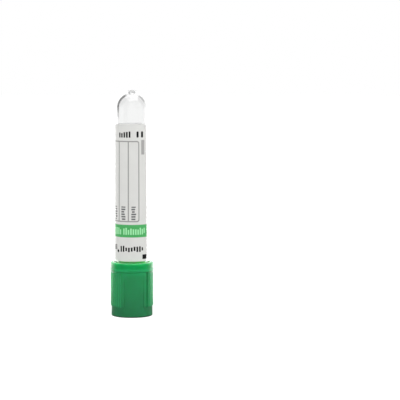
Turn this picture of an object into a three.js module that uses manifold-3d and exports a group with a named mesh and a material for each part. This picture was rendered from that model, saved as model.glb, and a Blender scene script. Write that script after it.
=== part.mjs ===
// Blood collection tube, standing on its closure with the round end up: a clear moulded tube with a
// wrapped label, and a ribbed closure shield that holds a rubber stopper by its neck.
// Millimetres and degrees, +Z up. The origin is the centre of the closure's needle end.
// Azimuths are seen from above: 0 is -Y, the front, and 90 is +X.

import * as THREE from "three";
import { mergeVertices } from "three/addons/utils/BufferGeometryUtils.js";
import Module from "manifold-3d";

// Tube
const mouthDiameter = 13.0; // outside, at the open end
const mouthWall = 1.0;
const tubeLength = 80.9;
const outerTaper = 0.55; // outside diameter lost between the mouth and the dome
const boreTaper = 0.65; // bore diameter lost between the mouth and the dome
const domeWall = 1.2;
const mouthEdge = 0.3;
const gateDiameter = 3.1; // flat tip left by the moulding gate
const gateHeight = 0.45;
const gateDish = 0.18;

// Stopper
const headOverhang = 0.3; // head past the tube's outside, on each side
const headHeight = 5.1;
const headEdge = 0.35;
const neckDepth = 0.35; // neck groove, below the plug's surface
const plugLength = 6.0;
const plugEdge = 0.9;
const wellDiameter = 6.1; // needle well
const wellFloorDiameter = 5.95;
const wellDepth = 6.0;
const wellEdge = 0.3;

// Shield
const shieldHeight = 21.1;
const needleRecess = 0.75; // stopper's needle face, in from the shield's end
const ledgeThickness = 0.95; // inner ledge, in the stopper's neck groove
const collarWall = 1.16;
const collarHeight = 3.75; // smooth collar below the ribs
const collarEdge = 0.35;
const ribHeight = 0.3; // rib tops, out from the collar
const ribEndSlope = 0.55; // height of the sloping lower end of the ribs
const panelRise = 0.3; // smooth panels at their top, out from the collar
const beadRise = 0.56; // bead under the rim, out from the collar
const beadHeight = 1.1;
const beadSlope = 0.25;
const rimHeight = 2.35; // from the bead to the shield's open end
const rimRise = 0.34; // rim at the bead, out from the collar
const rimEndRise = 0.12; // rim at its open end, out from the collar
const rimRounding = 0.65;
const skirtGapAtLedge = 0.25; // between skirt and tube, on each side
const skirtGapAtRim = 0.5;
const leadIn = 0.25;

// Grip ribs: two groups between two smooth panels. The right group has a wide groove at each end.
const panelAzimuth = 7; // middle of the front panel; the other panel is opposite
const panelAngle = 58;
const endRibAngle = 6.8; // wider rib at each end of a group
const wideGrooveAngle = 8.6;
const fluteAngle = 3.6;
const leftFlutes = 16;
const rightFlutes = 12;
const fluteFloorLift = 0.03; // flute floors, out from the collar
const fluteRounding = 0.12; // round corners along a flute's floor
const fluteTopGap = 0.3; // from the flutes' upper ends to the bead

// Label
const labelRimGap = 1.2; // from the shield's open end to the label
const labelDomeGap = 6.27; // from the label to the level where the dome starts
const labelThickness = 0.1;
const labelCorner = 1.5;
const windowAzimuth = 93.5; // middle of the clear strip that the label leaves open
const windowAngle = 62;

// Clearances
const seatClearance = 0.02; // between flat faces that seat on each other
const gripClearance = 0.05; // round fits, on each side
const adhesive = 0.04; // between tube and label

// Facets
const around = 72;
const domeSteps = 9;
const filletSteps = 3;
const fluteRoundingSteps = 2;
const mergeDistance = 1e-4;

const rad = THREE.MathUtils.degToRad;

// Sizes that follow from those above

const mouthRadius = mouthDiameter / 2;
const mouthBoreRadius = mouthRadius - mouthWall;
const domeRadius = mouthRadius - outerTaper / 2;
const domeBoreRadius = mouthBoreRadius - boreTaper / 2;

const headBottom = needleRecess;
const headTop = headBottom + headHeight;
const ledgeBottom = headTop + seatClearance;
const ledgeTop = ledgeBottom + ledgeThickness;
const plugBottom = ledgeTop + seatClearance;
const plugTop = plugBottom + plugLength;
const mouthLevel = ledgeTop + gripClearance;
const tipLevel = mouthLevel + tubeLength;
const domeCentre = tipLevel - gateHeight - domeRadius;
const boreDomeCentre = tipLevel - gateHeight - domeWall - domeBoreRadius;

const headRadius = mouthRadius + headOverhang;
const collarBore = headRadius + gripClearance;
const collarRadius = collarBore + collarWall;
const ribRadius = collarRadius + ribHeight;

// Radius of the tube's tapered outside, or of its bore, at a level.
function outsideAt(level) {
  const share = (level - mouthLevel) / (domeCentre - mouthLevel);
  return THREE.MathUtils.lerp(mouthRadius, domeRadius, share);
}

function boreAt(level) {
  const share = (level - mouthLevel) / (boreDomeCentre - mouthLevel);
  return THREE.MathUtils.lerp(mouthBoreRadius, domeBoreRadius, share);
}

// Outlines in a half section, as points of radius and level

function arc(centreLevel, radius, from, to) {
  const curve = new THREE.EllipseCurve(0, centreLevel, radius, radius, rad(from), rad(to), to < from);
  return curve.getPoints(domeSteps);
}

// A run of corners [radius, level, rounding], each rounded by a curve that starts and ends
// the rounding's length from the corner.
function rounded(corners) {
  const spots = corners.map(([r, z]) => new THREE.Vector2(r, z));
  return corners.flatMap(([, , rounding = 0], i) => {
    const corner = spots[i];
    if (rounding === 0) return [corner];
    const away = (other) => other.clone().sub(corner).setLength(rounding).add(corner);
    const curve = new THREE.QuadraticBezierCurve(away(spots[i - 1]), corner, away(spots[i + 1]));
    return curve.getPoints(filletSteps);
  });
}

// Solids

const wasm = await Module();
wasm.setup();

function revolve(points) {
  return new THREE.LatheGeometry(points, around).rotateX(Math.PI / 2);
}

function toSolid(geometry) {
  geometry.deleteAttribute("normal");
  geometry.deleteAttribute("uv");
  const merged = mergeVertices(geometry, mergeDistance);
  return new wasm.Manifold(
    new wasm.Mesh({
      numProp: 3,
      vertProperties: merged.getAttribute("position").array,
      triVerts: new Uint32Array(merged.index.array),
    }),
  );
}

function toGeometry(solid) {
  const mesh = solid.getMesh();
  const geometry = new THREE.BufferGeometry();
  geometry.setAttribute("position", new THREE.BufferAttribute(mesh.vertProperties, 3));
  geometry.setIndex(new THREE.BufferAttribute(mesh.triVerts, 1));
  return geometry.toNonIndexed();
}

// A ring whose half section is the closed run of corners.
function ring(corners) {
  return toSolid(revolve([...rounded(corners), rounded(corners)[0]]));
}

// Turns a solid extruded along +Z so that it runs outwards at an azimuth, its outline's Y upwards.
function pointOutwards(geometry, azimuth) {
  return toSolid(geometry.rotateX(Math.PI / 2).rotateZ(rad(azimuth)));
}

// Tube: bore and dome, round mouth edge, tapered outside, outer dome and gate tip.
function tubeGeometry() {
  const gateEdge = THREE.MathUtils.radToDeg(Math.acos(gateDiameter / 2 / domeRadius));
  return revolve([
    ...arc(boreDomeCentre, domeBoreRadius, 90, 0),
    ...rounded([
      [domeBoreRadius, boreDomeCentre],
      [mouthBoreRadius, mouthLevel, mouthEdge],
      [mouthRadius, mouthLevel, mouthEdge],
      [domeRadius, domeCentre],
    ]).slice(1, -1),
    ...arc(domeCentre, domeRadius, 0, gateEdge),
    ...rounded([
      [gateDiameter / 2, domeCentre],
      [gateDiameter / 2, tipLevel, gateDish / 2],
      [gateDiameter / 4, tipLevel - gateDish],
      [0, tipLevel - gateDish],
    ]).slice(1),
  ]);
}

// Stopper: needle well, head, neck groove and plug. The plug's taper follows the tube's bore.
function stopperGeometry() {
  const neckRadius = boreAt(plugBottom) - gripClearance - neckDepth;
  return revolve(
    rounded([
      [0, headBottom + wellDepth],
      [wellFloorDiameter / 2, headBottom + wellDepth, wellEdge],
      [wellDiameter / 2, headBottom, wellEdge],
      [headRadius, headBottom, headEdge],
      [headRadius, headTop, headEdge],
      [neckRadius, headTop],
      [neckRadius, plugBottom],
      [boreAt(plugBottom) - gripClearance, plugBottom],
      [boreAt(plugTop) - gripClearance, plugTop, plugEdge],
      [0, plugTop],
    ]),
  );
}

// Shield: one shell with the collar, the tapered panels, the bead and the rim outside, and the
// stopper's bore, the ledge and the skirt inside.
function shellSolid() {
  const beadTop = shieldHeight - rimHeight;
  const beadBottom = beadTop - beadHeight;
  const ledgeHole = boreAt(plugBottom) - neckDepth;
  const rimBore = outsideAt(shieldHeight) + skirtGapAtRim;
  return ring([
    [collarBore, 0],
    [collarRadius, 0, collarEdge],
    [collarRadius, collarHeight],
    [collarRadius + panelRise, beadBottom - beadSlope],
    [collarRadius + beadRise, beadBottom],
    [collarRadius + beadRise, beadTop - beadSlope],
    [collarRadius + rimRise, beadTop],
    [collarRadius + rimEndRise, shieldHeight, rimRounding],
    [rimBore + leadIn, shieldHeight],
    [rimBore, shieldHeight - leadIn],
    [outsideAt(ledgeTop) + skirtGapAtLedge, ledgeTop],
    [ledgeHole, ledgeTop],
    [ledgeHole, ledgeBottom],
    [collarBore, ledgeBottom],
  ]);
}

// The ribs' full band, with the two panels cut out of it as wedges.
function ribBand() {
  const root = collarRadius - collarWall / 2;
  const top = shieldHeight - rimHeight - beadHeight;
  const band = ring([
    [root, collarHeight],
    [collarRadius, collarHeight],
    [ribRadius, collarHeight + ribEndSlope],
    [ribRadius, top],
    [root, top],
  ]);
  return [0, 180].reduce((rest, turn) => {
    const reach = 2 * ribRadius;
    const half = rad(panelAngle / 2);
    const wedge = new THREE.Shape();
    wedge.moveTo(0, 0);
    wedge.lineTo(-reach * Math.sin(half), -reach * Math.cos(half));
    wedge.lineTo(reach * Math.sin(half), -reach * Math.cos(half));
    const prism = new THREE.ExtrudeGeometry(wedge, { depth: shieldHeight, bevelEnabled: false });
    return rest.subtract(toSolid(prism.rotateZ(rad(panelAzimuth + turn))));
  }, band);
}

// A flute between two ribs: a slot with a round upper end, open at its lower end, with its floor
// just outside the collar and round corners along the floor.
function flute(azimuth, angle) {
  const half = (ribRadius * rad(angle)) / 2 - fluteRounding;
  const top = shieldHeight - rimHeight - beadHeight - beadSlope - fluteTopGap - fluteRounding;
  const floor = collarRadius + fluteFloorLift;
  const slot = new THREE.Shape();
  slot.moveTo(-half, collarHeight - ribEndSlope);
  slot.lineTo(half, collarHeight - ribEndSlope);
  slot.lineTo(half, top - half);
  slot.absarc(0, top - half, half, 0, Math.PI, false);
  const cutter = new THREE.ExtrudeGeometry(slot, {
    depth: ribHeight,
    curveSegments: filletSteps,
    bevelThickness: 2 * fluteRounding,
    bevelSize: fluteRounding,
    bevelSegments: fluteRoundingSteps,
  });
  return pointOutwards(cutter.translate(0, 0, floor + 2 * fluteRounding), azimuth);
}

// The azimuths and widths of all flutes, group by group.
function fluteLayout() {
  const groupAngle = 180 - panelAngle;
  const right = panelAzimuth + panelAngle / 2 + endRibAngle;
  const left = right + 180;
  const span = groupAngle - 2 * endRibAngle;
  const rightSpan = span - 2 * wideGrooveAngle;
  const ribAngle = (rightSpan - rightFlutes * fluteAngle) / (rightFlutes + 1);
  const leftPitch = (span - fluteAngle) / (leftFlutes - 1);
  const layout = [
    [right + wideGrooveAngle / 2, wideGrooveAngle],
    [right + span - wideGrooveAngle / 2, wideGrooveAngle],
  ];
  for (let i = 0; i < rightFlutes; i += 1) {
    const start = right + wideGrooveAngle + ribAngle + i * (fluteAngle + ribAngle);
    layout.push([start + fluteAngle / 2, fluteAngle]);
  }
  for (let i = 0; i < leftFlutes; i += 1) {
    layout.push([left + fluteAngle / 2 + i * leftPitch, fluteAngle]);
  }
  return layout;
}

function shieldGeometry() {
  const flutes = fluteLayout().map(([azimuth, angle]) => flute(azimuth, angle));
  const blank = shellSolid().add(ribBand());
  return toGeometry(flutes.reduce((rest, cutter) => rest.subtract(cutter), blank));
}

// Label: a thin sleeve on the tube's taper, with the window strip cut out. The strip's outline is
// drawn on the unrolled label, flared where the label's corners are round.
function labelGeometry() {
  const bottom = shieldHeight + labelRimGap;
  const top = domeCentre - labelDomeGap;
  const inner = (level) => outsideAt(level) + adhesive;
  const sleeve = ring([
    [inner(bottom), bottom],
    [inner(bottom) + labelThickness, bottom],
    [inner(top) + labelThickness, top],
    [inner(top), top],
  ]);
  const radius = inner((bottom + top) / 2);
  const half = (radius * rad(windowAngle)) / 2;
  const wide = half + labelCorner;
  const past = labelCorner;
  const unrolled = new THREE.Path();
  unrolled.moveTo(-wide, bottom - past);
  unrolled.lineTo(wide, bottom - past);
  unrolled.lineTo(wide, bottom);
  unrolled.absarc(wide, bottom + labelCorner, labelCorner, -Math.PI / 2, -Math.PI, true);
  unrolled.absarc(wide, top - labelCorner, labelCorner, Math.PI, Math.PI / 2, true);
  unrolled.lineTo(wide, top + past);
  unrolled.lineTo(-wide, top + past);
  unrolled.absarc(-wide, top - labelCorner, labelCorner, Math.PI / 2, 0, true);
  unrolled.absarc(-wide, bottom + labelCorner, labelCorner, 0, -Math.PI / 2, true);
  const outline = unrolled.getPoints(filletSteps);
  const projected = outline.map(({ x, y }) => new THREE.Vector2(radius * Math.sin(x / radius), y));
  const cutter = new THREE.ExtrudeGeometry(new THREE.Shape(projected), {
    depth: 2 * mouthRadius,
    bevelEnabled: false,
  });
  return toGeometry(sleeve.subtract(pointOutwards(cutter, windowAzimuth)));
}

function part(name, geometry, look) {
  const mesh = new THREE.Mesh(geometry, new THREE.MeshStandardMaterial(look));
  mesh.name = name;
  return mesh;
}

const closure = new THREE.Group();
closure.add(
  part("cap_shield", shieldGeometry(), { color: "#2a8a55", roughness: 0.42, metalness: 0 }),
  part("rubber_stopper", stopperGeometry(), { color: "#3c3d41", roughness: 0.75, metalness: 0 }),
);

const labelledTube = new THREE.Group();
labelledTube.add(
  part("tube", tubeGeometry(), {
    color: "#f4f7f6",
    roughness: 0.05,
    metalness: 0,
    transparent: true,
    opacity: 0.35,
  }),
  part("label", labelGeometry(), { color: "#dcdcd9", roughness: 0.5, metalness: 0 }),
);

const bloodCollectionTube = new THREE.Group();
bloodCollectionTube.add(closure, labelledTube);

export default bloodCollectionTube;
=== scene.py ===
"""Looks of a blood collection tube that stands on its closure, with its round end up.

Four pieces in their real finishes, on a plain pale floor: a clear moulded tube, the label wrapped
round it, a ribbed green closure shield and the rubber stopper inside the shield. Sizes are in
millimetres until a piece is finished, when its mesh becomes metres. Angles are in degrees, and
azimuths are seen from above: 0 is -Y, the front of the label, and 90 is +X, the clear strip.
"""

import math

import bmesh
import bpy
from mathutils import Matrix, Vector


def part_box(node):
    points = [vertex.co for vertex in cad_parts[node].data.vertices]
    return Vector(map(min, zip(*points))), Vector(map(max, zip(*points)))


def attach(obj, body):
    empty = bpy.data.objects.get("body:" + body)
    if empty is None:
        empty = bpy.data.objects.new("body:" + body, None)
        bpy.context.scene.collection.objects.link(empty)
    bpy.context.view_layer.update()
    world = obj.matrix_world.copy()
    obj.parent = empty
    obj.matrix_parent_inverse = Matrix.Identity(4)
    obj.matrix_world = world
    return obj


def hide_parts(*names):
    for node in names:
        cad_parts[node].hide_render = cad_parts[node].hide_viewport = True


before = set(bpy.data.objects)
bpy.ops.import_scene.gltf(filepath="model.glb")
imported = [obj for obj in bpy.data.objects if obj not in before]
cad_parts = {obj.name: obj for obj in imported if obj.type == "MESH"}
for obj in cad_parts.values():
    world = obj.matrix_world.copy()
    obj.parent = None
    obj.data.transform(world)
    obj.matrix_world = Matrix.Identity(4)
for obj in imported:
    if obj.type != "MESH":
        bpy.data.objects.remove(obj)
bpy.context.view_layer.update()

MM = 0.001


def corners_of(node):
    """Lowest and highest corner of a CAD node, in millimetres."""
    low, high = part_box(node)
    return low / MM, high / MM


shield_high = corners_of("cap_shield")[1]
stopper_low, stopper_high = corners_of("rubber_stopper")
tube_low, tube_high = corners_of("tube")
label_low, label_high = corners_of("label")

# Shield: radii and levels
RIM_LEVEL = shield_high.z
BEAD_RADIUS = shield_high.x
COLLAR_RADIUS = BEAD_RADIUS - 0.56
RIB_RADIUS = COLLAR_RADIUS + 0.3
PANEL_TOP_RADIUS = COLLAR_RADIUS + 0.3
RIM_RADIUS = COLLAR_RADIUS + 0.47
RIM_END_RADIUS = COLLAR_RADIUS + 0.3
BORE_RADIUS = COLLAR_RADIUS - 1.16
COLLAR_LEVEL = 3.75
RIB_END_SLOPE = 0.55
BEAD_LEVEL = RIM_LEVEL - 3.45
BEAD_TOP = RIM_LEVEL - 2.35
BEAD_SLOPE = 0.25
RIM_ROUNDING = 0.65
EDGE_ROUNDING = 0.35
LEAD_IN = 0.25
SMALL_ROUNDING = 0.12
SKIRT_GAP_AT_LEDGE = 0.25
SKIRT_GAP_AT_RIM = 0.5

# Shield: grip ribs, in two groups between two smooth panels
RIB_ARC = math.radians(RIB_RADIUS)  # millimetres to a degree
PANEL_AZIMUTH = 7
PANEL_ANGLE = 58
END_RIB_ANGLE = 6.8
WIDE_GROOVE_ANGLE = 8.6
FLUTE_ANGLE = 3.6
WIDE_HALF = (WIDE_GROOVE_ANGLE + FLUTE_ANGLE) / 4 * RIB_ARC  # a flute's half width is less
LEFT_FLUTES = 16
RIGHT_FLUTES = 12
FLUTE_FLOOR_LIFT = 0.03
FLUTE_WALL = 0.16
FLUTE_TOP = BEAD_LEVEL - BEAD_SLOPE - 0.3
FLUTE_MARK = "flute"  # vertex attributes, 1 on the floors
GROOVE_MARK = "wide_groove"

# Shield: levels at which a green starts to show, and shows in full
# Painted shade: the body fades from a darker low green at the foot up to the body green
BODY_FADE = (0.0, FLUTE_TOP)
# Painted light: a lighter green just below the bead lifts the shade that the bead casts there
LIT_UNDER_BEAD_FADE = (BEAD_LEVEL - 1.8, BEAD_LEVEL - 0.4)
# Painted light: a brighter, purer green on the thin skirt above the bead, for light shining through
# its wall
LIT_THROUGH_SKIRT_FADE = (BEAD_TOP, BEAD_TOP + 0.4)
# Painted shade: dark green along the foot's bottom edge, where it meets the floor
FOOT_SHADE_FADE = (0.8, 0.2)
# Painted light: pale greens inside the skirt, palest towards the rim, stand in for light through
# the clear tube
LIT_INNER_RIM_FADE = (RIM_LEVEL - 1.5, RIM_LEVEL - 0.4)
LIT_INNER_WALL_FADE = (0.6, 0.2)  # from the radius of the skirt's mouth, outwards

# Stopper
HEAD_RADIUS = stopper_high.x
HEAD_LEVEL = stopper_low.z
HEAD_TOP = HEAD_LEVEL + 5.1
PLUG_TOP = stopper_high.z
PLUG_BOTTOM = PLUG_TOP - 6
PLUG_EDGE = 0.9
NECK_DEPTH = 0.35
WELL_RADIUS = 3.05
WELL_FLOOR_RADIUS = 2.975
WELL_DEPTH = 6
WELL_ROUNDING = 0.3
GRIP_CLEARANCE = 0.05
SEAT_CLEARANCE = 0.02

# Tube
MOUTH_RADIUS = tube_high.x
MOUTH_LEVEL = tube_low.z
TIP_LEVEL = tube_high.z
DOME_RADIUS = MOUTH_RADIUS - 0.275
BORE_MOUTH_RADIUS = MOUTH_RADIUS - 1
BORE_DOME_RADIUS = BORE_MOUTH_RADIUS - 0.325
DOME_WALL = 1.2
MOUTH_EDGE = 0.3
GATE_RADIUS = 1.55
GATE_HEIGHT = 0.45
GATE_DISH = 0.18
DOME_CENTRE = TIP_LEVEL - GATE_HEIGHT - DOME_RADIUS
BORE_DOME_CENTRE = TIP_LEVEL - GATE_HEIGHT - DOME_WALL - BORE_DOME_RADIUS
COAT_FADE = (DOME_CENTRE + 3.2, DOME_CENTRE + 4.2)  # levels where the dried coat ends
COAT_WAVE = 1.5

# Label
LABEL_THICKNESS = 0.1
LABEL_CORNER = 1.5
LABEL_DROP = 0.5  # how far the label reaches below its CAD sheet
WINDOW_AZIMUTH = 93.5
WINDOW_ANGLE = 62
ADHESIVE = 0.04
LABEL_ARC = math.radians(label_high.y)  # millimetres to a degree
PRINT_MAP = "print"  # UV map in millimetres: round from azimuth 0, and up from the CAD sheet's foot

# Label print, in millimetres on the unrolled label
BOX_RIGHT = 3.06
BOX_FOOT = 15.0
BOX_TOP = 45.9
BOX_COLUMN = 4.23
BOX_COLUMNS = 4
BOX_CORNER = 0.8
RULE_WIDTH = 0.44
BAND_FOOT = 8.85
BAND_TOP = 13.75
PAST_EDGES = 40  # where the band ends, round the label from azimuth 0 on both sides
SQUARE_CORNER = 0.01

# Plain blocks: left, right, foot, top and corner
PALE_BLOCK = (4.15, 5.75, 40.85, 46.45, 0.1)
DARK_BLOCKS = (
    (2.1, 3.0, 47.4, 49.8, 0.4),
    (4.1, 5.1, 47.4, 49.8, 0.4),
    (-6.45, -5.35, 2.9, 4.0, 0.5),
    (4.6, 7.0, 0.3, 2.1, 0.12),
)

# Lines of small print: start, length, foot, height, pitch of its bars, and seed
DARK_LINES = (
    (-5.4, 5.4, 47.4, 2.4, 1.1, 21),
    (-4.6, 9.9, 3.2, 2.4, 1.1, 32),
    (-14.0, 7.2, 3.9, 2.2, 1.1, 41),
)
BAND_LINES = (
    (-8.7, 4.75, 9.9, 2.7, 0.95, 61),
    (-3.3, 9.5, 9.9, 2.7, 0.95, 62),
    (-15.2, 6.0, 9.9, 2.7, 0.95, 63),
)

# Small print in the box's columns, which runs up the label
FIELD_START = 15.6
FIELD_LENGTH = 5.2
FIELD_INSET = 1.2
FIELD_HEIGHT = 1.85
FIELD_PITCH = 0.95

# Bars of small print
BAR_SHARE = 0.62  # width of a bar, in its cell
SHORT_BAR = 0.7  # shortest bar, in the line's height
HIGH_FOOT = 0.2  # highest foot of a bar, in the line's height
LEVEL_BARS = 0.6  # share of the bars that stand on the line

# Mesh density
WEDGES = 12
SHIELD_STEPS = 1080
TURNED_STEPS = 192
DOME_STEPS = 28
ROUNDING_STEPS = 5
STRIP_ANGLE = 2
RIB_END_ROWS = 8
RIB_ROWS = 4
FLUTE_END_ROWS = 18

# Angles at which an edge is sharp
TURNED_SHARP = 50
SHIELD_SHARP = 60
LABEL_SHARP = 40

# Colours, linear
PAPER = (0.68, 0.68, 0.66, 1)
BACKING = (0.93, 0.93, 0.92, 1)
DARK_INK = (0.005, 0.005, 0.006, 1)
WORD_INK = (0.14, 0.14, 0.14, 1)
RULE_INK = (0.31, 0.31, 0.3, 1)
PALE_INK = (0.38, 0.372, 0.368, 1)
BAND_GREEN = (0.082, 0.41, 0.128, 1)
BAND_LIGHT = (0.36, 0.78, 0.42, 1)
BODY_GREEN = (0.021, 0.29, 0.1, 1)
# Painted light: lighter green just below the bead, against the bead's shade
LIT_UNDER_BEAD_GREEN = (0.016, 0.35, 0.115, 1)
# Painted light: a lighter green on the flute floors lifts their shade
LIT_FLUTE_GREEN = (0.036, 0.375, 0.145, 1)
# Painted shade: a darker, deeper green in the wide grooves
SHADED_GROOVE_GREEN = (0.001, 0.21, 0.055, 1)
# Painted shade: darker green low on the body, towards the foot
SHADED_LOW_GREEN = (0.021, 0.215, 0.083, 1)
# Painted shade: dark green at the foot's bottom edge
SHADED_FOOT_GREEN = (0.02, 0.112, 0.055, 1)
# Painted light: brighter, purer green of light shining through the thin skirt
LIT_THROUGH_SKIRT_GREEN = (0.004, 0.31, 0.08, 1)
# Painted light: pale greens inside the skirt and on the rim's inner edge
LIT_INNER_GREEN = (0.3, 0.78, 0.36, 1)
LIT_INNER_RIM_GREEN = (0.55, 0.9, 0.55, 1)
RUBBER = (0.046, 0.048, 0.053, 1)
RUBBER_BLOOM = (0.085, 0.087, 0.09, 1)
CLEAR = (0.995, 0.995, 0.995, 1)
COATED = (0.977, 0.979, 0.977, 1)
FLOOR_GREY = (0.2, 0.2, 0.2, 1)
FLOOR_GREY_IN_GLOSS = (0.04, 0.04, 0.04, 1)
WHITE = (1, 1, 1, 1)

# Stage, in metres and watts
FLOOR_REACH = 2.5
FLOOR_DROP = 0.00002
FLOOR_GLOW = 0.88
FLOOR_GLOW_IN_GLOSS = 1.7
LAMPS = (  # name, place, side, power, and whether gloss shows it
    ("overhead_softbox", (0.05, -0.1, 0.9), 1.0, 6.8, True),
    ("front_softbox", (0.2, -0.75, 0.75), 0.9, 11.0, False),
    ("right_softbox", (0.9, 0.0, 0.4), 0.7, 2.3, False),
    ("left_softbox", (-0.9, -0.1, 0.35), 0.7, 4.3, False),
)
CAMERA_PLACE = (0.02631, -0.7, 0.10985)
CAMERA_LENS = 162.8
CAMERA_DOWN = 5.28
CAMERA_ROLL = -0.13


def tube_outside(level):
    """Radius of the tube's tapered outside at a level."""
    share = (level - MOUTH_LEVEL) / (DOME_CENTRE - MOUTH_LEVEL)
    return MOUTH_RADIUS + (DOME_RADIUS - MOUTH_RADIUS) * share


def tube_bore(level):
    """Radius of the tube's tapered bore at a level."""
    share = (level - MOUTH_LEVEL) / (BORE_DOME_CENTRE - MOUTH_LEVEL)
    return BORE_MOUTH_RADIUS + (BORE_DOME_RADIUS - BORE_MOUTH_RADIUS) * share


# Turned pieces: a half outline in the XZ plane, spun round the Z axis


def swing(bm, start, centre_level, angle):
    """Turns a vertex about a point of the axis, leaving an arc of edges. Returns the arc's end."""
    made = bmesh.ops.spin(
        bm, geom=[start], cent=(0, 0, centre_level), axis=(0, 1, 0), dvec=(0, 0, 0),
        angle=math.radians(angle), steps=DOME_STEPS, use_merge=False, use_duplicate=False,
    )
    return made["geom_last"][0]


def run(bm, start, corners):
    """Edges from a vertex through corners of radius, level and rounding. Returns the last one."""
    to_round = []
    for radius, level, rounding in corners:
        corner = bm.verts.new((radius, 0, level))
        bm.edges.new((start, corner))
        if rounding:
            to_round.append((corner, rounding))
        start = corner
    for corner, rounding in to_round:
        bmesh.ops.bevel(
            bm, geom=[corner], offset=rounding, segments=ROUNDING_STEPS, profile=0.5,
            affect="VERTICES", material=-1,
        )
    return start


def turn(bm, steps):
    """Spins the outline once round the Z axis, wedge by wedge, and closes its poles."""
    wedge = 2 * math.pi / WEDGES
    spins = ((wedge, steps // WEDGES, False), (2 * math.pi - wedge, WEDGES - 1, True))
    for angle, count, copied in spins:
        bmesh.ops.spin(
            bm, geom=bm.verts[:] + bm.edges[:] + bm.faces[:], cent=(0, 0, 0), axis=(0, 0, 1),
            dvec=(0, 0, 0), angle=angle, steps=count, use_merge=False, use_duplicate=copied,
        )
    bmesh.ops.remove_doubles(bm, verts=bm.verts, dist=MM / 2)
    bmesh.ops.recalc_face_normals(bm, faces=bm.faces)


def add_object(name, data):
    """A mesh, lamp or camera as an object of the scene."""
    made = bpy.data.objects.new(name, data)
    bpy.context.scene.collection.objects.link(made)
    return made


def finish_piece(bm, name, body, node, materials, sharp_angle):
    """Turns a bmesh in millimetres into a smooth piece in metres that stands for a CAD node."""
    bmesh.ops.scale(bm, vec=(MM, MM, MM), verts=bm.verts)
    for edge in bm.edges:
        edge.smooth = not edge.is_boundary and edge.calc_face_angle() < math.radians(sharp_angle)
    mesh = bpy.data.meshes.new(name)
    bm.to_mesh(mesh)
    bm.free()
    mesh.shade_smooth()
    for material in materials:
        mesh.materials.append(material)
    piece = add_object(name, mesh)
    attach(piece, body)
    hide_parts(node)
    return piece


def even_shading(piece):
    """Keeps flat stretches flat where they meet round edges."""
    modifier = piece.modifiers.new("even_shading", "WEIGHTED_NORMAL")
    modifier.keep_sharp = True


def make_tube(material):
    """Clear tube: domed bore, round mouth edge, tapered outside, outer dome and gate tip."""
    bm = bmesh.new()
    gate_edge = math.degrees(math.acos(GATE_RADIUS / DOME_RADIUS))
    bore_end = bm.verts.new((0, 0, BORE_DOME_CENTRE + BORE_DOME_RADIUS))
    bore_side = swing(bm, bore_end, BORE_DOME_CENTRE, 90)
    dome_side = run(bm, bore_side, [
        (BORE_MOUTH_RADIUS, MOUTH_LEVEL, MOUTH_EDGE),
        (MOUTH_RADIUS, MOUTH_LEVEL, MOUTH_EDGE),
        (DOME_RADIUS, DOME_CENTRE, 0),
    ])
    gate_side = swing(bm, dome_side, DOME_CENTRE, -gate_edge)
    run(bm, gate_side, [
        (GATE_RADIUS, TIP_LEVEL, GATE_DISH / 2),
        (GATE_RADIUS - 2 * GATE_DISH, TIP_LEVEL, GATE_DISH / 2),
        (GATE_RADIUS / 2, TIP_LEVEL - GATE_DISH, GATE_DISH),
        (0, TIP_LEVEL - GATE_DISH, 0),
    ])
    turn(bm, TURNED_STEPS)
    piece = finish_piece(
        bm, "clear_tube", "labelled_tube", "tube", [material], TURNED_SHARP
    )
    even_shading(piece)


def make_stopper(material):
    """Rubber stopper: needle well, head, neck groove and plug."""
    bm = bmesh.new()
    plug_radius = tube_bore(PLUG_BOTTOM) - GRIP_CLEARANCE
    plug_end_radius = tube_bore(PLUG_TOP) - GRIP_CLEARANCE
    neck_radius = plug_radius - NECK_DEPTH
    well_floor = bm.verts.new((0, 0, HEAD_LEVEL + WELL_DEPTH))
    run(bm, well_floor, [
        (WELL_FLOOR_RADIUS, HEAD_LEVEL + WELL_DEPTH, WELL_ROUNDING),
        (WELL_RADIUS, HEAD_LEVEL, WELL_ROUNDING),
        (HEAD_RADIUS, HEAD_LEVEL, EDGE_ROUNDING),
        (HEAD_RADIUS, HEAD_TOP, EDGE_ROUNDING),
        (neck_radius, HEAD_TOP, SMALL_ROUNDING),
        (neck_radius, PLUG_BOTTOM, SMALL_ROUNDING),
        (plug_radius, PLUG_BOTTOM, SMALL_ROUNDING),
        (plug_end_radius, PLUG_TOP, PLUG_EDGE),
        (0, PLUG_TOP, 0),
    ])
    turn(bm, TURNED_STEPS)
    piece = finish_piece(
        bm, "stopper", "closure", "rubber_stopper", [material], TURNED_SHARP
    )
    even_shading(piece)


def flute_places():
    """Azimuth and angle of every flute and wide groove, group by group."""
    group_angle = 180 - PANEL_ANGLE
    right = PANEL_AZIMUTH + PANEL_ANGLE / 2 + END_RIB_ANGLE
    left = right + 180
    span = group_angle - 2 * END_RIB_ANGLE
    right_span = span - 2 * WIDE_GROOVE_ANGLE
    rib_angle = (right_span - RIGHT_FLUTES * FLUTE_ANGLE) / (RIGHT_FLUTES + 1)
    left_pitch = (span - FLUTE_ANGLE) / (LEFT_FLUTES - 1)
    places = [
        (right + WIDE_GROOVE_ANGLE / 2, WIDE_GROOVE_ANGLE),
        (right + span - WIDE_GROOVE_ANGLE / 2, WIDE_GROOVE_ANGLE),
    ]
    for i in range(RIGHT_FLUTES):
        start = right + WIDE_GROOVE_ANGLE + rib_angle + i * (FLUTE_ANGLE + rib_angle)
        places.append((start + FLUTE_ANGLE / 2, FLUTE_ANGLE))
    for i in range(LEFT_FLUTES):
        places.append((left + FLUTE_ANGLE / 2 + i * left_pitch, FLUTE_ANGLE))
    return places


def ease(distance, width):
    """0 to 1 across an edge, from half a width before it to half a width past it."""
    share = min(max(distance / width + 0.5, 0), 1)
    return share * share * (3 - 2 * share)


def turned_apart(azimuth, other):
    """Signed angle from one azimuth to another, the short way round."""
    return (azimuth - other + 180) % 360 - 180


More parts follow.
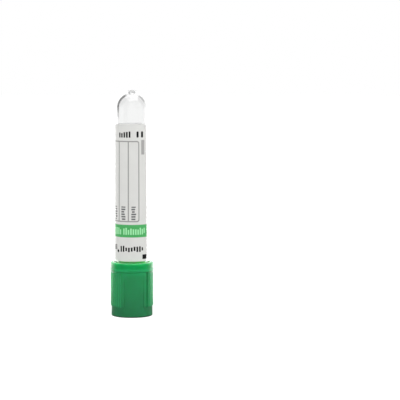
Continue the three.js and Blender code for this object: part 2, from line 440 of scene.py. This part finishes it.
def grip_at(azimuth, flutes):
    """How an azimuth lies in the grip.

    Returns how far it is in a rib group, 0 to 1, its distance across the nearest flute from the
    flute's middle, and the flute's half width.
    """
    from_panel = min(
        abs(turned_apart(azimuth, PANEL_AZIMUTH)), abs(turned_apart(azimuth, PANEL_AZIMUTH + 180))
    )
    in_group = ease((from_panel - PANEL_ANGLE / 2) * RIB_ARC, FLUTE_WALL)

    def past_edge(flute):
        return abs(turned_apart(azimuth, flute[0])) - flute[1] / 2

    place, angle = min(flutes, key=past_edge)
    return in_group, abs(turned_apart(azimuth, place)) * RIB_ARC, angle * RIB_ARC / 2


def grip_radius(level, smooth_radius, in_group, across, half_flute):
    """Radius of the shield's outside where the ribs are, and how far it is in a flute, 0 to 1."""
    end_share = min((level - COLLAR_LEVEL) / RIB_END_SLOPE, 1)
    rib = COLLAR_RADIUS + (RIB_RADIUS - COLLAR_RADIUS) * end_share
    proud = smooth_radius + max(rib - smooth_radius, 0) * in_group
    round_end = BEAD_LEVEL if half_flute > WIDE_HALF else FLUTE_TOP - half_flute
    above = max(level - round_end, 0)
    in_flute = ease(half_flute - math.hypot(across, above), FLUTE_WALL)
    floor = COLLAR_RADIUS + FLUTE_FLOOR_LIFT
    return proud - max(proud - floor, 0) * in_flute, in_flute


def add_rows(bm, low, high, count):
    """Cuts evenly spaced rows of vertices into the outline's outer side between two levels."""
    for i in range(count):
        level = low + (high - low) * (i + 0.5) / count
        outer = [
            edge for edge in bm.edges
            if min(vert.co.x for vert in edge.verts) > COLLAR_RADIUS - MM
        ]
        ends = {vert for edge in outer for vert in edge.verts}
        bmesh.ops.bisect_plane(
            bm, geom=outer + list(ends), dist=MM, plane_co=(0, 0, level), plane_no=(0, 0, 1)
        )


def press_grip(bm):
    """Moves the turned wall out to its ribs and in to its flutes and grooves, and marks both."""
    flute_mark = bm.verts.layers.float.new(FLUTE_MARK)
    groove_mark = bm.verts.layers.float.new(GROOVE_MARK)
    flutes = flute_places()
    grips = {}
    for vert in bm.verts:
        radius = math.hypot(vert.co.x, vert.co.y)
        level = vert.co.z
        if radius < COLLAR_RADIUS - MM or not COLLAR_LEVEL < level < BEAD_LEVEL - BEAD_SLOPE:
            continue
        azimuth = round(math.degrees(math.atan2(vert.co.x, -vert.co.y)), 2)
        if azimuth not in grips:
            grips[azimuth] = grip_at(azimuth, flutes)
        in_group, across, half_flute = grips[azimuth]
        new_radius, in_flute = grip_radius(level, radius, in_group, across, half_flute)
        vert.co.x *= new_radius / radius
        vert.co.y *= new_radius / radius
        vert[groove_mark if half_flute > WIDE_HALF else flute_mark] = in_flute


def make_shield(material):
    """Green shield: collar, panels, ribs, bead and rim outside; bore, ledge and skirt inside."""
    bm = bmesh.new()
    ledge_top = PLUG_BOTTOM - SEAT_CLEARANCE
    ledge_bottom = HEAD_TOP + SEAT_CLEARANCE
    ledge_radius = tube_bore(PLUG_BOTTOM) - NECK_DEPTH
    skirt_foot = tube_outside(ledge_top) + SKIRT_GAP_AT_LEDGE
    skirt_mouth = tube_outside(RIM_LEVEL) + SKIRT_GAP_AT_RIM
    ledge = bm.verts.new((BORE_RADIUS, 0, ledge_bottom))
    last = run(bm, ledge, [
        (BORE_RADIUS, 0, SMALL_ROUNDING),
        (COLLAR_RADIUS, 0, EDGE_ROUNDING),
        (COLLAR_RADIUS, COLLAR_LEVEL, 0),
        (PANEL_TOP_RADIUS, BEAD_LEVEL - BEAD_SLOPE, 0),
        (BEAD_RADIUS, BEAD_LEVEL + BEAD_SLOPE, SMALL_ROUNDING),
        (BEAD_RADIUS, BEAD_TOP - BEAD_SLOPE, SMALL_ROUNDING),
        (RIM_RADIUS, BEAD_TOP, SMALL_ROUNDING),
        (RIM_END_RADIUS, RIM_LEVEL, RIM_ROUNDING),
        (skirt_mouth + LEAD_IN, RIM_LEVEL, 0),
        (skirt_mouth, RIM_LEVEL - LEAD_IN, 0),
        (skirt_foot, ledge_top, SMALL_ROUNDING),
        (ledge_radius, ledge_top, SMALL_ROUNDING),
        (ledge_radius, ledge_bottom, 0),
    ])
    bm.edges.new((last, ledge))
    fine_foot = FLUTE_TOP - WIDE_GROOVE_ANGLE * RIB_ARC
    add_rows(bm, COLLAR_LEVEL, COLLAR_LEVEL + 1.5 * RIB_END_SLOPE, RIB_END_ROWS)
    add_rows(bm, COLLAR_LEVEL + 2 * RIB_END_SLOPE, fine_foot, RIB_ROWS)
    add_rows(bm, fine_foot, FLUTE_TOP + FLUTE_WALL, FLUTE_END_ROWS)
    turn(bm, SHIELD_STEPS)
    press_grip(bm)
    piece = finish_piece(
        bm, "ribbed_shield", "closure", "cap_shield", [material], SHIELD_SHARP
    )
    even_shading(piece)


def make_label(print_material, backing_material):
    """Label: a rectangle with round corners, cut into strips and bent onto the tube's taper."""
    bm = bmesh.new()
    uv_layer = bm.loops.layers.uv.new(PRINT_MAP)
    right = (WINDOW_AZIMUTH - WINDOW_ANGLE / 2) * LABEL_ARC
    left = (WINDOW_AZIMUTH + WINDOW_ANGLE / 2 - 360) * LABEL_ARC
    foot, top = label_low.z - LABEL_DROP, label_high.z
    places = ((left, 0, foot), (right, 0, foot), (right, 0, top), (left, 0, top))
    corners = [bm.verts.new(place) for place in places]
    bm.faces.new(corners)
    bmesh.ops.bevel(
        bm, geom=corners, offset=LABEL_CORNER, segments=2 * ROUNDING_STEPS, profile=0.5,
        affect="VERTICES", material=-1,
    )
    strip = STRIP_ANGLE * LABEL_ARC
    for i in range(math.ceil(left / strip), math.ceil(right / strip)):
        bmesh.ops.bisect_plane(
            bm, geom=bm.verts[:] + bm.edges[:] + bm.faces[:], dist=MM,
            plane_co=(i * strip, 0, 0), plane_no=(1, 0, 0),
        )
    for face in bm.faces:
        for loop in face.loops:
            loop[uv_layer].uv = (loop.vert.co.x, loop.vert.co.z - label_low.z)
    for vert in bm.verts:
        azimuth = math.radians(vert.co.x / LABEL_ARC)
        radius = tube_outside(vert.co.z) + ADHESIVE + LABEL_THICKNESS
        vert.co = (radius * math.sin(azimuth), -radius * math.cos(azimuth), vert.co.z)
    piece = finish_piece(
        bm, "wrapped_label", "labelled_tube", "label",
        [print_material, backing_material], LABEL_SHARP,
    )
    sheet = piece.modifiers.new("paper_thickness", "SOLIDIFY")
    sheet.thickness = LABEL_THICKNESS * MM
    sheet.offset = -1
    sheet.material_offset = 1
    sheet.material_offset_rim = 1
    even_shading(piece)


# Material nodes


def feed(tree, node, inputs):
    """Sets a node's inputs: a socket is linked, and a number or colour is written."""
    for key, value in inputs.items():
        if isinstance(value, bpy.types.NodeSocket):
            tree.links.new(value, node.inputs[key])
        else:
            node.inputs[key].default_value = value


def add(tree, kind, inputs=None, **settings):
    """A shader node with its settings and inputs."""
    node = tree.nodes.new("ShaderNode" + kind)
    for name, value in settings.items():
        setattr(node, name, value)
    feed(tree, node, inputs or {})
    return node


def calc(tree, operation, *values):
    """Output of a Math node."""
    return add(tree, "Math", dict(enumerate(values)), operation=operation).outputs[0]


def product(tree, *values):
    """Several numbers multiplied."""
    result = values[0]
    for value in values[1:]:
        result = calc(tree, "MULTIPLY", result, value)
    return result


def largest(tree, *masks):
    """The greatest of several masks."""
    result = masks[0]
    for mask in masks[1:]:
        result = calc(tree, "MAXIMUM", result, mask)
    return result


def vector(tree, operation, *values):
    """Vector output of a Vector Math node."""
    return add(tree, "VectorMath", dict(enumerate(values)), operation=operation).outputs[0]


def flat_length(tree, first, second):
    """Length of a vector of two parts."""
    flat = add(tree, "CombineXYZ", {0: first, 1: second}).outputs[0]
    return add(tree, "VectorMath", {0: flat}, operation="LENGTH").outputs["Value"]


def blend(tree, share, first, second):
    """Colour between two colours."""
    return add(tree, "Mix", {0: share, 6: first, 7: second}, data_type="RGBA").outputs[2]


def ramp(tree, value, start, end, low=0.0, high=1.0):
    """Smooth step of a value from one number to another."""
    inputs = {"Value": value, "From Min": start, "From Max": end, "To Min": low, "To Max": high}
    return add(tree, "MapRange", inputs, interpolation_type="SMOOTHSTEP").outputs[0]


def fade(tree, value, ends):
    """Smooth step of a value in metres between two ends in millimetres."""
    return ramp(tree, value, ends[0] * MM, ends[1] * MM)


def new_group(name, inputs, outputs):
    """Empty node group with named sockets. Returns the tree, its input node and its output node."""
    tree = bpy.data.node_groups.new(name, "ShaderNodeTree")
    for in_out, sockets in (("INPUT", inputs), ("OUTPUT", outputs)):
        for socket_name, kind in sockets:
            tree.interface.new_socket(socket_name, in_out=in_out, socket_type="NodeSocket" + kind)
    return tree, tree.nodes.new("NodeGroupInput"), tree.nodes.new("NodeGroupOutput")


def place_group(tree, group, inputs):
    """A node group placed in a tree, with its inputs set."""
    node = tree.nodes.new("ShaderNodeGroup")
    node.node_tree = group
    feed(tree, node, inputs)
    return node


def bare_tree(owner):
    """Empty node tree of a material or a world."""
    owner.use_nodes = True
    owner.node_tree.nodes.clear()
    return owner.node_tree


def new_material(name):
    """Material with a Principled shader in its tree. Returns material, tree and shader."""
    material = bpy.data.materials.new(name)
    tree = bare_tree(material)
    shader = add(tree, "BsdfPrincipled")
    add(tree, "OutputMaterial", {"Surface": shader.outputs[0]})
    return material, tree, shader


def surface_group():
    """Fine surface of a moulded or coated material: a grain's height and a slow mottle."""
    group, given, made = new_group(
        "moulded_surface",
        [("Place", "Vector"), ("Grain Size", "Float"), ("Mottle Size", "Float")],
        [("Height", "Float"), ("Mottle", "Float")],
    )
    place = given.outputs["Place"]
    grain_scale = calc(group, "DIVIDE", 1.0, given.outputs["Grain Size"])
    mottle_scale = calc(group, "DIVIDE", 1.0, given.outputs["Mottle Size"])
    grain = add(group, "TexNoise", {"Vector": place, "Scale": grain_scale, "Detail": 3.0})
    mottle = add(group, "TexNoise", {"Vector": place, "Scale": mottle_scale, "Detail": 2.0})
    feed(group, made, {"Height": grain.outputs[0], "Mottle": mottle.outputs[0]})
    return group


def block_group():
    """A printed rectangle with round corners: its filled shape and its outline."""
    group, given, made = new_group(
        "printed_block",
        [("Place", "Vector"), ("Centre", "Vector"), ("Half Size", "Vector"), ("Corner", "Float"),
         ("Line Width", "Float")],
        [("Fill", "Float"), ("Line", "Float")],
    )
    corner = given.outputs["Corner"]
    away = vector(group, "SUBTRACT", given.outputs["Place"], given.outputs["Centre"])
    folded = vector(group, "ABSOLUTE", away)
    past = vector(group, "SUBTRACT", folded, given.outputs["Half Size"])
    sides = add(group, "SeparateXYZ", {0: past})
    across = calc(group, "ADD", sides.outputs[0], corner)
    along = calc(group, "ADD", sides.outputs[1], corner)
    outside = flat_length(
        group, calc(group, "MAXIMUM", across, 0.0), calc(group, "MAXIMUM", along, 0.0)
    )
    inside = calc(group, "MINIMUM", calc(group, "MAXIMUM", across, along), 0.0)
    distance = calc(group, "SUBTRACT", calc(group, "ADD", outside, inside), corner)
    half_line = calc(group, "DIVIDE", given.outputs["Line Width"], 2.0)
    line = calc(group, "LESS_THAN", calc(group, "ABSOLUTE", distance), half_line)
    feed(group, made, {"Fill": calc(group, "LESS_THAN", distance, 0.0), "Line": line})
    return group


def print_group():
    """A line of short upright bars of uneven height, which stands for small print."""
    group, given, made = new_group(
        "small_print",
        [("Place", "Vector"), ("Start", "Float"), ("Foot", "Float"), ("Length", "Float"),
         ("Height", "Float"), ("Pitch", "Float"), ("Seed", "Float")],
        [("Mask", "Float")],
    )
    place = add(group, "SeparateXYZ", {0: given.outputs["Place"]})
    along = calc(group, "SUBTRACT", place.outputs[0], given.outputs["Start"])
    up = calc(group, "SUBTRACT", place.outputs[1], given.outputs["Foot"])
    step = calc(group, "DIVIDE", along, given.outputs["Pitch"])
    level = calc(group, "DIVIDE", up, given.outputs["Height"])
    cell = add(group, "CombineXYZ", {0: calc(group, "FLOOR", step)})
    draw = {"Vector": cell.outputs[0], "W": given.outputs["Seed"]}
    chances = add(group, "TexWhiteNoise", draw, noise_dimensions="4D")
    draws = add(group, "SeparateColor", {0: chances.outputs["Color"]})
    bar_top = ramp(group, draws.outputs[0], 0.0, 1.0, SHORT_BAR, 1.0)
    bar_foot = ramp(group, draws.outputs[1], LEVEL_BARS, 1.0, 0.0, HIGH_FOOT)
    in_order = (
        (calc(group, "FRACT", step), BAR_SHARE),
        (bar_foot, level), (level, bar_top), (0.0, along), (along, given.outputs["Length"]),
    )
    tests = [calc(group, "LESS_THAN", low, high) for low, high in in_order]
    feed(group, made, {"Mask": product(group, *tests)})
    return group


# Finishes


def relief(tree, shader, height, distance, strength):
    """Feeds a height in millimetres to a shader's normal."""
    bump = add(tree, "Bump", {"Height": height, "Distance": distance * MM, "Strength": strength})
    feed(tree, shader, {"Normal": bump.outputs[0]})


def object_place(tree):
    """Object coordinates, in metres."""
    return add(tree, "TexCoord").outputs["Object"]


def fine_surface(tree, surface, place, grain, mottle):
    """Height and mottle of a moulded surface, from its grain and mottle sizes in millimetres."""
    node = place_group(tree, surface, {
        "Place": place, "Grain Size": grain * MM, "Mottle Size": mottle * MM,
    })
    return node.outputs["Height"], node.outputs["Mottle"]


def tint(tree, colour, mottle, amount):
    """A colour made a little darker or lighter by a mottle."""
    inputs = {"Color": colour, "Value": ramp(tree, mottle, 0.3, 0.7, 1 - amount, 1 + amount)}
    return add(tree, "HueSaturation", inputs).outputs[0]


def uneven(tree, mottle, least, spread):
    """A number that a mottle raises from its least by up to a spread."""
    return calc(tree, "MULTIPLY_ADD", mottle, spread, least)


def printed_label(surface, block, words):
    """Coated label stock, with a ruled box, a green band and small print as plain blocks."""
    material, tree, shader = new_material("printed_label")
    height, mottle = fine_surface(tree, surface, object_place(tree), grain=0.12, mottle=6)
    upright = add(tree, "UVMap", uv_map=PRINT_MAP).outputs[0]
    flat = add(tree, "SeparateXYZ", {0: upright})
    sideways = add(tree, "CombineXYZ", {0: flat.outputs[1], 1: flat.outputs[0]}).outputs[0]

    def printed_block(left, right, foot, top, corner):
        return place_group(tree, block, {
            "Place": upright,
            "Centre": ((left + right) / 2, (foot + top) / 2, 0),
            "Half Size": ((right - left) / 2, (top - foot) / 2, 0),
            "Corner": corner,
            "Line Width": RULE_WIDTH,
        }).outputs

    def small_print(place, start, length, foot, height, pitch, seed):
        return place_group(tree, words, {
            "Place": place, "Start": start, "Foot": foot, "Length": length,
            "Height": height, "Pitch": pitch, "Seed": seed,
        }).outputs["Mask"]

    box_left = BOX_RIGHT - BOX_COLUMNS * BOX_COLUMN
    rules = printed_block(box_left, BOX_RIGHT, BOX_FOOT, BOX_TOP, BOX_CORNER)["Line"]
    fields = []
    for i in range(BOX_COLUMNS):
        left = box_left + i * BOX_COLUMN
        if i:
            sides = left - RULE_WIDTH / 2, left + RULE_WIDTH / 2
            rule = printed_block(*sides, BOX_FOOT, BOX_TOP, SQUARE_CORNER)["Fill"]
            rules = largest(tree, rules, rule)
        fields.append(small_print(
            sideways, FIELD_START, FIELD_LENGTH, left + FIELD_INSET, FIELD_HEIGHT, FIELD_PITCH, i
        ))
    pale = printed_block(*PALE_BLOCK)["Fill"]
    band = printed_block(-PAST_EDGES, PAST_EDGES, BAND_FOOT, BAND_TOP, SQUARE_CORNER)["Fill"]
    band_words = [small_print(upright, *line) for line in BAND_LINES]
    dark_words = [small_print(upright, *line) for line in DARK_LINES]
    dark_blocks = [printed_block(*place)["Fill"] for place in DARK_BLOCKS]

    colour = tint(tree, PAPER, mottle, 0.02)
    colour = blend(tree, pale, colour, PALE_INK)
    colour = blend(tree, rules, colour, RULE_INK)
    colour = blend(tree, band, colour, BAND_GREEN)
    colour = blend(tree, largest(tree, *band_words), colour, BAND_LIGHT)
    colour = blend(tree, largest(tree, *fields), colour, WORD_INK)
    colour = blend(tree, largest(tree, *dark_words, *dark_blocks), colour, DARK_INK)
    feed(tree, shader, {
        "Base Color": colour,
        "IOR": 1.45,
        "Specular IOR Level": 0.12,
        "Roughness": uneven(tree, mottle, least=0.39, spread=0.16),
    })
    relief(tree, shader, height, distance=0.008, strength=0.5)
    return material


def label_backing(surface):
    """Plain white film on the label's inner side and edges, which lets light through."""
    material, tree, shader = new_material("label_backing")
    height, mottle = fine_surface(tree, surface, object_place(tree), grain=0.2, mottle=4)
    feed(tree, shader, {
        "Base Color": tint(tree, BACKING, mottle, 0.03),
        "Roughness": uneven(tree, mottle, least=0.45, spread=0.25),
        "Subsurface Weight": 1.0,
        "Subsurface Radius": (1.0, 1.0, 1.0),
        "Subsurface Scale": 10 * LABEL_THICKNESS * MM,
    })
    relief(tree, shader, height, distance=0.008, strength=0.4)
    return material


def green_plastic(surface):
    """Satin translucent plastic, with painted shade and painted light in its green.

    Painted shade darkens it low down, at the foot's edge and in the wide grooves. Painted light
    lightens it below the bead and on the flute floors, brightens the thin skirt above the bead
    and makes the inside of the skirt pale.
    """
    material, tree, shader = new_material("green_plastic")
    place = object_place(tree)
    height, mottle = fine_surface(tree, surface, place, grain=0.16, mottle=5)
    sides = add(tree, "SeparateXYZ", {0: place}).outputs
    level = sides[2]
    radius = flat_length(tree, sides[0], sides[1])
    skirt_mouth = tube_outside(RIM_LEVEL) + SKIRT_GAP_AT_RIM
    # Painted light: the inside of the skirt, above the plug, is painted pale as if lit through the
    # tube
    inside = product(
        tree, calc(tree, "GREATER_THAN", level, PLUG_BOTTOM * MM),
        fade(tree, radius, [skirt_mouth + distance for distance in LIT_INNER_WALL_FADE]),
    )
    inner = blend(tree, fade(tree, level, LIT_INNER_RIM_FADE), LIT_INNER_GREEN, LIT_INNER_RIM_GREEN)
    layers = (
        # Painted shade: darker towards the foot
        (fade(tree, level, BODY_FADE), BODY_GREEN),
        # Painted light: lighter just below the bead
        (fade(tree, level, LIT_UNDER_BEAD_FADE), LIT_UNDER_BEAD_GREEN),
        # Painted light: lighter on the flute floors
        (add(tree, "Attribute", attribute_name=FLUTE_MARK).outputs["Fac"], LIT_FLUTE_GREEN),
        # Painted shade: darker in the wide grooves
        (add(tree, "Attribute", attribute_name=GROOVE_MARK).outputs["Fac"], SHADED_GROOVE_GREEN),
        # Painted light: brighter and purer on the thin skirt above the bead
        (fade(tree, level, LIT_THROUGH_SKIRT_FADE), LIT_THROUGH_SKIRT_GREEN),
        # Painted shade: darker at the foot's bottom edge
        (fade(tree, level, FOOT_SHADE_FADE), SHADED_FOOT_GREEN),
        # Painted light: pale inside the skirt
        (inside, inner),
    )
    # Starts from the darker low green of the painted shade
    green = SHADED_LOW_GREEN
    for mask, over in layers:
        green = blend(tree, mask, green, over)
    feed(tree, shader, {
        "Base Color": tint(tree, green, mottle, 0.04),
        "IOR": 1.5,
        "Roughness": uneven(tree, mottle, least=0.24, spread=0.12),
        "Subsurface Weight": 0.8,
        "Subsurface Radius": (0.35, 1.0, 0.55),
        "Subsurface Scale": 3 * MM,
    })
    relief(tree, shader, height, distance=0.012, strength=0.5)
    return material


def stopper_rubber(surface):
    """Matt moulded rubber with a faint pale bloom."""
    material, tree, shader = new_material("stopper_rubber")
    height, mottle = fine_surface(tree, surface, object_place(tree), grain=0.22, mottle=2.5)
    bloom = ramp(tree, mottle, 0.5, 0.75)
    feed(tree, shader, {
        "Base Color": blend(tree, bloom, RUBBER, RUBBER_BLOOM),
        "IOR": 1.5,
        "Roughness": uneven(tree, mottle, least=0.57, spread=0.26),
    })
    relief(tree, shader, height, distance=0.02, strength=0.6)
    return material


def clear_plastic(surface):
    """Polished clear plastic, with the dried coat's faint veil up to the dome's upper half."""
    material, tree, shader = new_material("clear_plastic")
    place = object_place(tree)
    height, _ = fine_surface(tree, surface, place, grain=2.5, mottle=9)
    level = add(tree, "SeparateXYZ", {0: place}).outputs[2]
    edge = calc(tree, "MULTIPLY_ADD", height, COAT_WAVE * MM, level)
    feed(tree, shader, {
        "Base Color": blend(tree, fade(tree, edge, COAT_FADE), COATED, CLEAR),
        "Roughness": 0.015,
        "IOR": 1.57,
        "Transmission Weight": 1.0,
    })
    relief(tree, shader, height, distance=0.02, strength=0.12)
    return material


# Stage


def surroundings_group():
    """White surroundings by direction, as seen through glass and as they light the object.

    Glass shows them white, with two dark flags and shaded sides. Their light is bright behind
    and dim elsewhere.
    """
    group, given, made = new_group(
        "surroundings", [("Direction", "Vector")], [("Through", "Float"), ("Around", "Float")]
    )
    right, back, up = add(group, "SeparateXYZ", {0: given.outputs["Direction"]}).outputs

    # How far a direction is from straight ahead or back, and its shares to the right and up
    away = flat_length(group, right, up)
    turned = calc(group, "DIVIDE", right, away)
    raised = calc(group, "DIVIDE", up, away)

    left_flag = product(
        group, ramp(group, turned, -0.3, -0.6), ramp(group, up, -0.05, -0.036)
    )
    right_flag = product(
        group, ramp(group, turned, 0.35, 0.6), ramp(group, raised, 0.3, 0.55, 0.0, 0.6)
    )
    flags = product(
        group, calc(group, "MULTIPLY_ADD", largest(group, left_flag, right_flag), 0.85, 0.05),
        ramp(group, away, 0.4, 0.6), ramp(group, away, 0.98, 0.85),
    )
    shade = product(
        group, ramp(group, away, 0.08, 0.2, 0.0, 0.15), ramp(group, up, -0.02, 0.1),
        ramp(group, calc(group, "ABSOLUTE", turned), 0.25, 0.5),
    )
    feed(group, made, {
        "Through": calc(group, "SUBTRACT", 1.0, largest(group, flags, shade)),
        "Around": ramp(group, back, 0.0, 0.8, 0.1, 2.2),
    })
    return group


def make_floor(surroundings):
    """Plain pale floor, seen as white, that keeps the object's shadow."""
    bm = bmesh.new()
    bmesh.ops.create_grid(bm, x_segments=1, y_segments=1, size=FLOOR_REACH)
    bmesh.ops.translate(bm, vec=(0, 0, -FLOOR_DROP), verts=bm.verts)
    mesh = bpy.data.meshes.new("floor")
    bm.to_mesh(mesh)
    bm.free()
    floor = add_object("floor", mesh)
    material = bpy.data.materials.new("pale_floor")
    tree = bare_tree(material)
    from_dome = vector(tree, "SUBTRACT", object_place(tree), (0, 0, DOME_CENTRE * MM))
    direction = add(tree, "VectorMath", {0: from_dome}, operation="NORMALIZE").outputs[0]
    seen = place_group(tree, surroundings, {"Direction": direction})
    rays = add(tree, "LightPath").outputs
    mirrored = product(
        tree, rays["Is Glossy Ray"], product(tree, seen.outputs["Around"], FLOOR_GLOW_IN_GLOSS)
    )
    strength = calc(tree, "MULTIPLY_ADD", rays["Is Camera Ray"], FLOOR_GLOW, mirrored)
    grey = blend(tree, rays["Is Glossy Ray"], FLOOR_GREY, FLOOR_GREY_IN_GLOSS)
    paint = add(tree, "BsdfDiffuse", {"Color": grey})
    glow = add(tree, "Emission", {"Strength": strength})
    lit = add(tree, "AddShader", {0: paint.outputs[0], 1: glow.outputs[0]})
    white = add(tree, "Emission", {"Strength": seen.outputs["Through"]})
    both = add(tree, "MixShader", {
        0: rays["Is Transmission Ray"], 1: lit.outputs[0], 2: white.outputs[0],
    })
    add(tree, "OutputMaterial", {"Surface": both.outputs[0]})
    mesh.materials.append(material)


def make_backdrop(surroundings):
    """White backdrop all round, lighting the object from every side."""
    world = bpy.data.worlds.new("studio")
    bpy.context.scene.world = world
    tree = bare_tree(world)
    direction = add(tree, "TexCoord").outputs["Generated"]
    seen = place_group(tree, surroundings, {"Direction": direction}).outputs
    rays = add(tree, "LightPath").outputs
    strength = seen["Around"]
    for ray, value in (("Is Transmission Ray", seen["Through"]), ("Is Camera Ray", 1.0)):
        strength = add(tree, "Mix", {0: rays[ray], 2: strength, 3: value}).outputs[0]
    glow = add(tree, "Background", {"Color": WHITE, "Strength": strength})
    add(tree, "OutputWorld", {"Surface": glow.outputs[0]})


def make_lamp(name, place, size, power, in_gloss):
    """Square soft lamp that points at the object's middle and is not seen through glass."""
    data = bpy.data.lights.new(name, "AREA")
    data.size = size
    data.energy = power
    lamp = add_object(name, data)
    lamp.location = place
    middle = Vector((0, 0, TIP_LEVEL / 2 * MM))
    lamp.rotation_euler = (middle - lamp.location).to_track_quat("-Z", "Y").to_euler()
    lamp.visible_transmission = False
    lamp.visible_glossy = in_gloss


def make_camera():
    """Camera a little higher than the tube's round end, well in front and looking slightly down."""
    data = bpy.data.cameras.new("camera")
    data.lens = CAMERA_LENS
    camera = add_object("camera", data)
    camera.location = CAMERA_PLACE
    camera.rotation_euler = (math.radians(90 - CAMERA_DOWN), math.radians(CAMERA_ROLL), 0)
    bpy.context.scene.camera = camera


surface = surface_group()
printed = printed_label(surface, block_group(), print_group())
make_shield(green_plastic(surface))
make_stopper(stopper_rubber(surface))
make_tube(clear_plastic(surface))
make_label(printed, label_backing(surface))

surroundings = surroundings_group()
make_floor(surroundings)
make_backdrop(surroundings)
for lamp in LAMPS:
    make_lamp(*lamp)
make_camera()
bpy.context.scene.view_settings.view_transform = "Standard"
